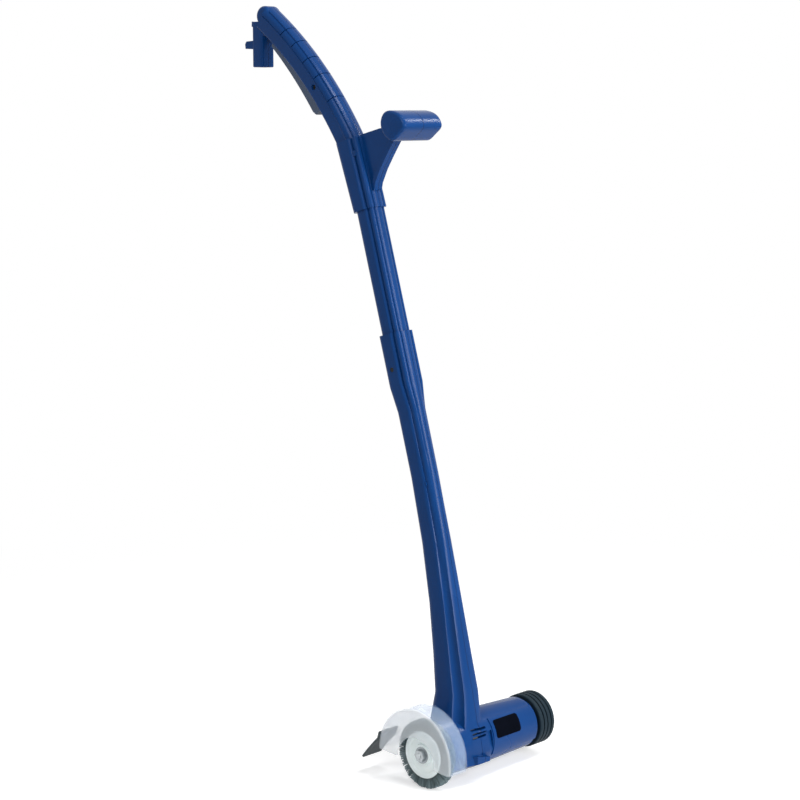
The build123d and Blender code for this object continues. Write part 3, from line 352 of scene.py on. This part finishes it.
finishes = {
    "housing_blue": mouldedAbs(),
    # glass-filled nylon, moulded with a satin spark texture: dull slate
    "trigger_dark": mottled("mouldedNylonSlate", {
        "dark": "#2b3a52", "light": "#33455f", "patch": 25, "grain": 0.7, "depth": 0.02,
        "rough": (0.42, 0.52)}),
    "guard_milky": milkyPolypropylene(),
    # white acetal, moulded: bright and faintly soft
    "disc_white": mottled("mouldedAcetalWhite", {
        "dark": "#e9f6f6", "light": "#f4fbfb", "patch": 18, "grain": 0.9, "depth": 0.012,
        "rough": (0.3, 0.4), "sockets": {"IOR": 1.48}}),
    "bristle_grey": nylonFilament(),
    # natural rubber tread, moulded: near black with a grey bloom
    "tyre_rubber": mottled("mouldedRubberTread", {
        "dark": "#14212a", "light": "#1d2c35", "patch": 9, "grain": 0.6, "depth": 0.03,
        "rough": (0.5, 0.66), "sockets": {"Specular IOR Level": 0.1}}),
    # rubber sheet, calendered and cut: grey black, dull, finely pitted
    "flap_rubber": mottled("calenderedRubberSheet", {
        "dark": "#2c3639", "light": "#414c50", "patch": 12, "grain": 0.8, "depth": 0.03,
        "rough": (0.55, 0.7)}),
    # polyester film, printed plain black: deep and without a reflection
    "plate_black": mottled("printedPolyesterFilm", {
        "dark": "#07090f", "light": "#0c0f18", "patch": 20, "grain": 3.0, "depth": 0.004,
        "rough": (0.2, 0.28), "sockets": {"Specular IOR Level": 0.0}}),
    # black glass-filled nylon, moulded: dull dark grey
    "dark_plastic": mottled("mouldedNylonBlack", {
        "dark": "#141618", "light": "#1d2022", "patch": 15, "grain": 0.8, "depth": 0.02,
        "rough": (0.4, 0.55)}),
    # soft cable sheath, extruded: black with a wax-like sheen
    "cable_rubber": mottled("extrudedRubberSheath", {
        "dark": "#0f1011", "light": "#191b1c", "patch": 10, "grain": 0.9, "depth": 0.015,
        "rough": (0.38, 0.5)}),
    # steel, turned and blackened in hot salts: soft black with a dull shine
    "black_steel": mottled("blackenedSteel", {
        "dark": "#0d0f11", "light": "#1a1d20", "patch": 4, "grain": 0.6, "depth": 0.006,
        "rough": (0.35, 0.5), "metallic": 0.6}),
    # aluminium alloy, die cast and dark coated: slate grey, finely pitted
    "cast_alloy": mottled("dieCastAluminiumCoated", {
        "dark": "#24272a", "light": "#33373a", "patch": 8, "grain": 0.7, "depth": 0.04,
        "rough": (0.5, 0.65)}),
    # steel, turned and zinc plated: grey with fine lathe lines and a cold tint
    "steel": banded("turnedSteelZincPlated", {
        "dark": "#8f9599", "light": "#cdd2d4", "pitch": 1.0, "patch": 5, "way": "X", "wander": 1.0,
        "depth": 0.004, "rough": (0.28, 0.42)}),
    # bearing steel, hardened and ground: bright with close lines
    "bearing_steel": banded("groundBearingSteel", {
        "dark": "#9a9ea1", "light": "#d9dcdd", "pitch": 0.8, "patch": 6, "way": "X", "wander": 0.4,
        "depth": 0.003, "rough": (0.2, 0.3)}),
    # electrical steel, stamped and stacked: dark grey with the edges of the sheets
    "lamination": banded("stackedElectricalSteel", {
        "dark": "#4c4f52", "light": "#85898c", "pitch": 2.0, "patch": 7, "way": "X", "wander": 0.2,
        "depth": 0.05, "rough": (0.35, 0.5)}),
    # enamelled copper wire, wound: warm red brown with the rows of the turns
    "copper": banded("woundEnamelledCopper", {
        "dark": "#6b2f16", "light": "#c97a48", "pitch": 2.2, "patch": 6, "way": "Z", "wander": 0.8,
        "depth": 0.12, "rough": (0.25, 0.4)}),
    # brass rod, turned: yellow with fine lathe lines
    "brass": banded("turnedBrass", {
        "dark": "#a8853f", "light": "#dcbf74", "pitch": 1.0, "patch": 5, "way": "Z", "wander": 0.6,
        "depth": 0.004, "rough": (0.24, 0.36)}),
}
slotOf = {part["node"]: part["material_slot"] for part in frame["record"]["subparts"]}
ownFinish = {"middle_tube": drawnAbs()}
for name, part in nodes.items():
    part.data.materials.clear()
    part.data.materials.append(ownFinish.get(name, finishes[slotOf[name]]))
print("finishes made:", len(bpy.data.materials))


def shadeSmooth(mesh):
    mesh.polygons.foreach_set("use_smooth", np.ones(len(mesh.polygons), bool))


# Curved CAD faces shade smoothly, and edges sharper than the angle stay crisp
edgeLook = {"sharpAngle": 30, "weld": 2e-6}
for part in nodes.values():
    shadeSmooth(part.data)
    weld = part.modifiers.new("weld", "WELD")
    weld.merge_threshold = edgeLook["weld"]
    crisp = part.modifiers.new("crisp", "EDGE_SPLIT")
    crisp.split_angle = math.radians(edgeLook["sharpAngle"])
print("edges set")


def newPiece(name, points, faces, body, slot):  # mesh object from arrays, riding on a body
    mesh = bpy.data.meshes.new(name)
    mesh.from_pydata(points.reshape(-1, 3).tolist(), [], faces)
    piece = newObject(name, mesh)
    mesh.materials.append(finishes[slot])
    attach(piece, body)
    return piece


# Quads of a profile carried along a path: each joins two neighbours of one ring to the same two of the
# next, and on a closed path the last ring is joined to the first
def ringQuads(rings, sides, closed=False):
    ring, side = np.meshgrid(np.arange(rings if closed else rings - 1), np.arange(sides), indexing="ij")
    nextRing, nextSide = (ring + 1) % rings, (side + 1) % sides
    quads = [
        ring * sides + side, ring * sides + nextSide, nextRing * sides + nextSide, nextRing * sides + side]
    return np.stack(quads, -1).reshape(-1, 4)


# Bristles: tufts of filaments on a band round the disc, in metres
bristleLook = {
    "rows": 4, "tufts": 100, "perTuft": 12, "rings": 4, "seed": 4,
    "axis": (-0.192, 0.050), "face": -0.1145, "width": 0.0145,  # axis in y and z, outer side, depth
    "root": 0.0335, "tip": 0.0495, "wear": 0.0012,  # radii, and the most that a tip is worn down
    "halfThick": 0.00024,
    "footSpread": 0.0012, "opening": 1.3,  # a tuft's width at the foot, and its growth to the tip
    "fan": 0.0007, "tuftLean": 0.6, "stray": 0.8,  # sideways reach, its share per tuft and filament
    "tuftTurn": 0.004,  # radians that a tuft may be off its place
    "tuftTone": 0.6, "paintedRootShade": 0.25,  # share of the tone that a tuft has in common, level of the painted shade at the root
    "bandInner": 0.032, "bandOuter": 0.034, "bandInset": 0.00005, "bandSteps": 96,
}


# Each filament is a square rod: its middle runs straight out from root to tip while its sideways
# offset grows with the square of the way out, so that a tuft fans; rings of four corners make it
def filaments(look):
    rng = np.random.default_rng(look["seed"])
    row, tuft = np.meshgrid(np.arange(look["rows"]), np.arange(look["tufts"]), indexing="ij")

    def perFilament(values):  # a tuft's value, once for each of its filaments
        return np.repeat(values[..., None], look["perTuft"], -1).reshape(*values.shape[:-2], -1)

    place = tuft + 0.5 * (row % 2)  # every other row stands in the gaps of its neighbours
    turn = 2 * np.pi * place / look["tufts"] + rng.normal(0, look["tuftTurn"], row.shape)
    angle = perFilament(turn)
    middle = perFilament(look["face"] + look["width"] / look["rows"] * (row + 0.5))
    count = angle.size
    foot = rng.uniform(-0.5, 0.5, (2, count)) * look["footSpread"]
    lean = perFilament(rng.normal(0, look["tuftLean"], (2, *row.shape)))
    end = foot * look["opening"] + (rng.normal(0, look["stray"], (2, count)) + lean) * look["fan"]
    reach = look["tip"] - rng.random(count) ** 2 * look["wear"]
    way = np.linspace(0, 1, look["rings"])
    radius = look["root"] + (reach[:, None] - look["root"]) * way
    side, along = foot[..., None] + (end - foot)[..., None] * way ** 2
    corner = np.array([(-1, -1), (1, -1), (1, 1), (-1, 1)]) * look["halfThick"]
    sides = len(corner)
    x = (middle[:, None] + along)[..., None] + corner[:, 0]
    across = side[..., None] + corner[:, 1]
    cosine, sine = np.cos(angle)[:, None, None], np.sin(angle)[:, None, None]
    y = look["axis"][0] + radius[..., None] * cosine - across * sine
    z = look["axis"][1] + radius[..., None] * sine + across * cosine
    points = np.stack([x, y, z], -1).reshape(-1, 3)
    perRod = look["rings"] * sides
    quads = np.concatenate([ringQuads(look["rings"], sides), [np.arange(perRod - sides, perRod)]])
    faces = (np.arange(count)[:, None, None] * perRod + quads).reshape(-1, 4)
    own = 1 - look["tuftTone"]
    tone = perFilament(rng.random(row.shape)) * look["tuftTone"] + rng.random(count) * own
    # Painted shade: each filament's tone darkens from the tip towards the root
    shade = tone[:, None] * (look["paintedRootShade"] + (1 - look["paintedRootShade"]) * way)
    return points, faces, np.repeat(shade.ravel(), sides)


# The band is a rectangle in the axis plane carried round the axis
def bristleBand(look):
    turn = np.linspace(0, 2 * np.pi, look["bandSteps"], endpoint=False)[:, None]
    low, high = look["face"] + look["bandInset"], look["face"] + look["width"] - look["bandInset"]
    inner, outer = look["bandInner"], look["bandOuter"]
    radius = np.array([inner, inner, outer, outer])
    x = np.array([low, high, high, low]) + 0 * turn
    y = look["axis"][0] + radius * np.cos(turn)
    z = look["axis"][1] + radius * np.sin(turn)
    return np.stack([x, y, z], -1).reshape(-1, 3), ringQuads(look["bandSteps"], len(radius), closed=True)


hairPoints, hairFaces, hairShade = filaments(bristleLook)
bandPoints, bandFaces = bristleBand(bristleLook)
bristlePiece = newPiece(
    "bristleFilaments", np.concatenate([hairPoints, bandPoints]),
    np.concatenate([hairFaces, bandFaces + len(hairPoints)]).tolist(), "spindle", "bristle_grey")
bristleShade = np.concatenate([hairShade, np.zeros(len(bandPoints))])
shadeLayer = bristlePiece.data.attributes.new("shade", "FLOAT", "POINT")
shadeLayer.data.foreach_set("value", bristleShade.astype(np.float32))
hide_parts("bristles")
print("bristles:", len(hairFaces), "faces")

# Trigger spring: closed coils at both ends, open between, in metres
springLook = {
    "base": (-0.0365, 0.075971, 0.983726), "axis": (0, 0.757055, -0.653351), "length": 0.0262,
    "coilRadius": 0.0029, "wire": 0.00045, "closedRise": 2.1, "turns": 9, "steps": 30, "sides": 8,
    "keep": 0.70,  # share of the length that is left at full pull
}


# A circle carried along a helix: the angle grows evenly, the height by a closed coil's rise over the
# first and the last turn, which is counted in wire radii, and evenly over the turns between
def coil(look):
    turns, wire, sides = look["turns"], look["wire"], look["sides"]
    rings = turns * look["steps"] + 1
    turn = np.linspace(0, 1, rings) * turns
    closed = np.clip(turn, 0, 1) + np.clip(turn - turns + 1, 0, 1)
    opened = np.clip((turn - 1) / (turns - 2), 0, 1)
    rise = look["closedRise"] * wire
    height = wire + closed * rise + opened * (look["length"] - 2 * wire - 2 * rise)
    axis = np.array(look["axis"])
    sideA = np.array([1.0, 0, 0])
    sideB = np.cross(axis, sideA)
    angle = 2 * np.pi * turn[:, None]
    out = np.cos(angle) * sideA + np.sin(angle) * sideB
    middle = np.array(look["base"]) + height[:, None] * axis + look["coilRadius"] * out
    along = np.gradient(middle, axis=0)
    along /= np.linalg.norm(along, axis=1, keepdims=True)
    across = np.cross(along, out)
    phi = np.linspace(0, 2 * np.pi, sides, endpoint=False)[:, None]
    points = middle[:, None] + wire * (np.cos(phi) * out[:, None] + np.sin(phi) * across[:, None])
    ends = [list(range(sides))[::-1], list(range((rings - 1) * sides, rings * sides))]
    return points, ringQuads(rings, sides).tolist() + ends


springPoints, springFaces = coil(springLook)
springPiece = newPiece("triggerCoilSpring", springPoints, springFaces, "frame", "steel")
shadeSmooth(springPiece.data)
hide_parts("trigger_spring")
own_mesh(springPiece)
print("spring:", len(springFaces), "faces")
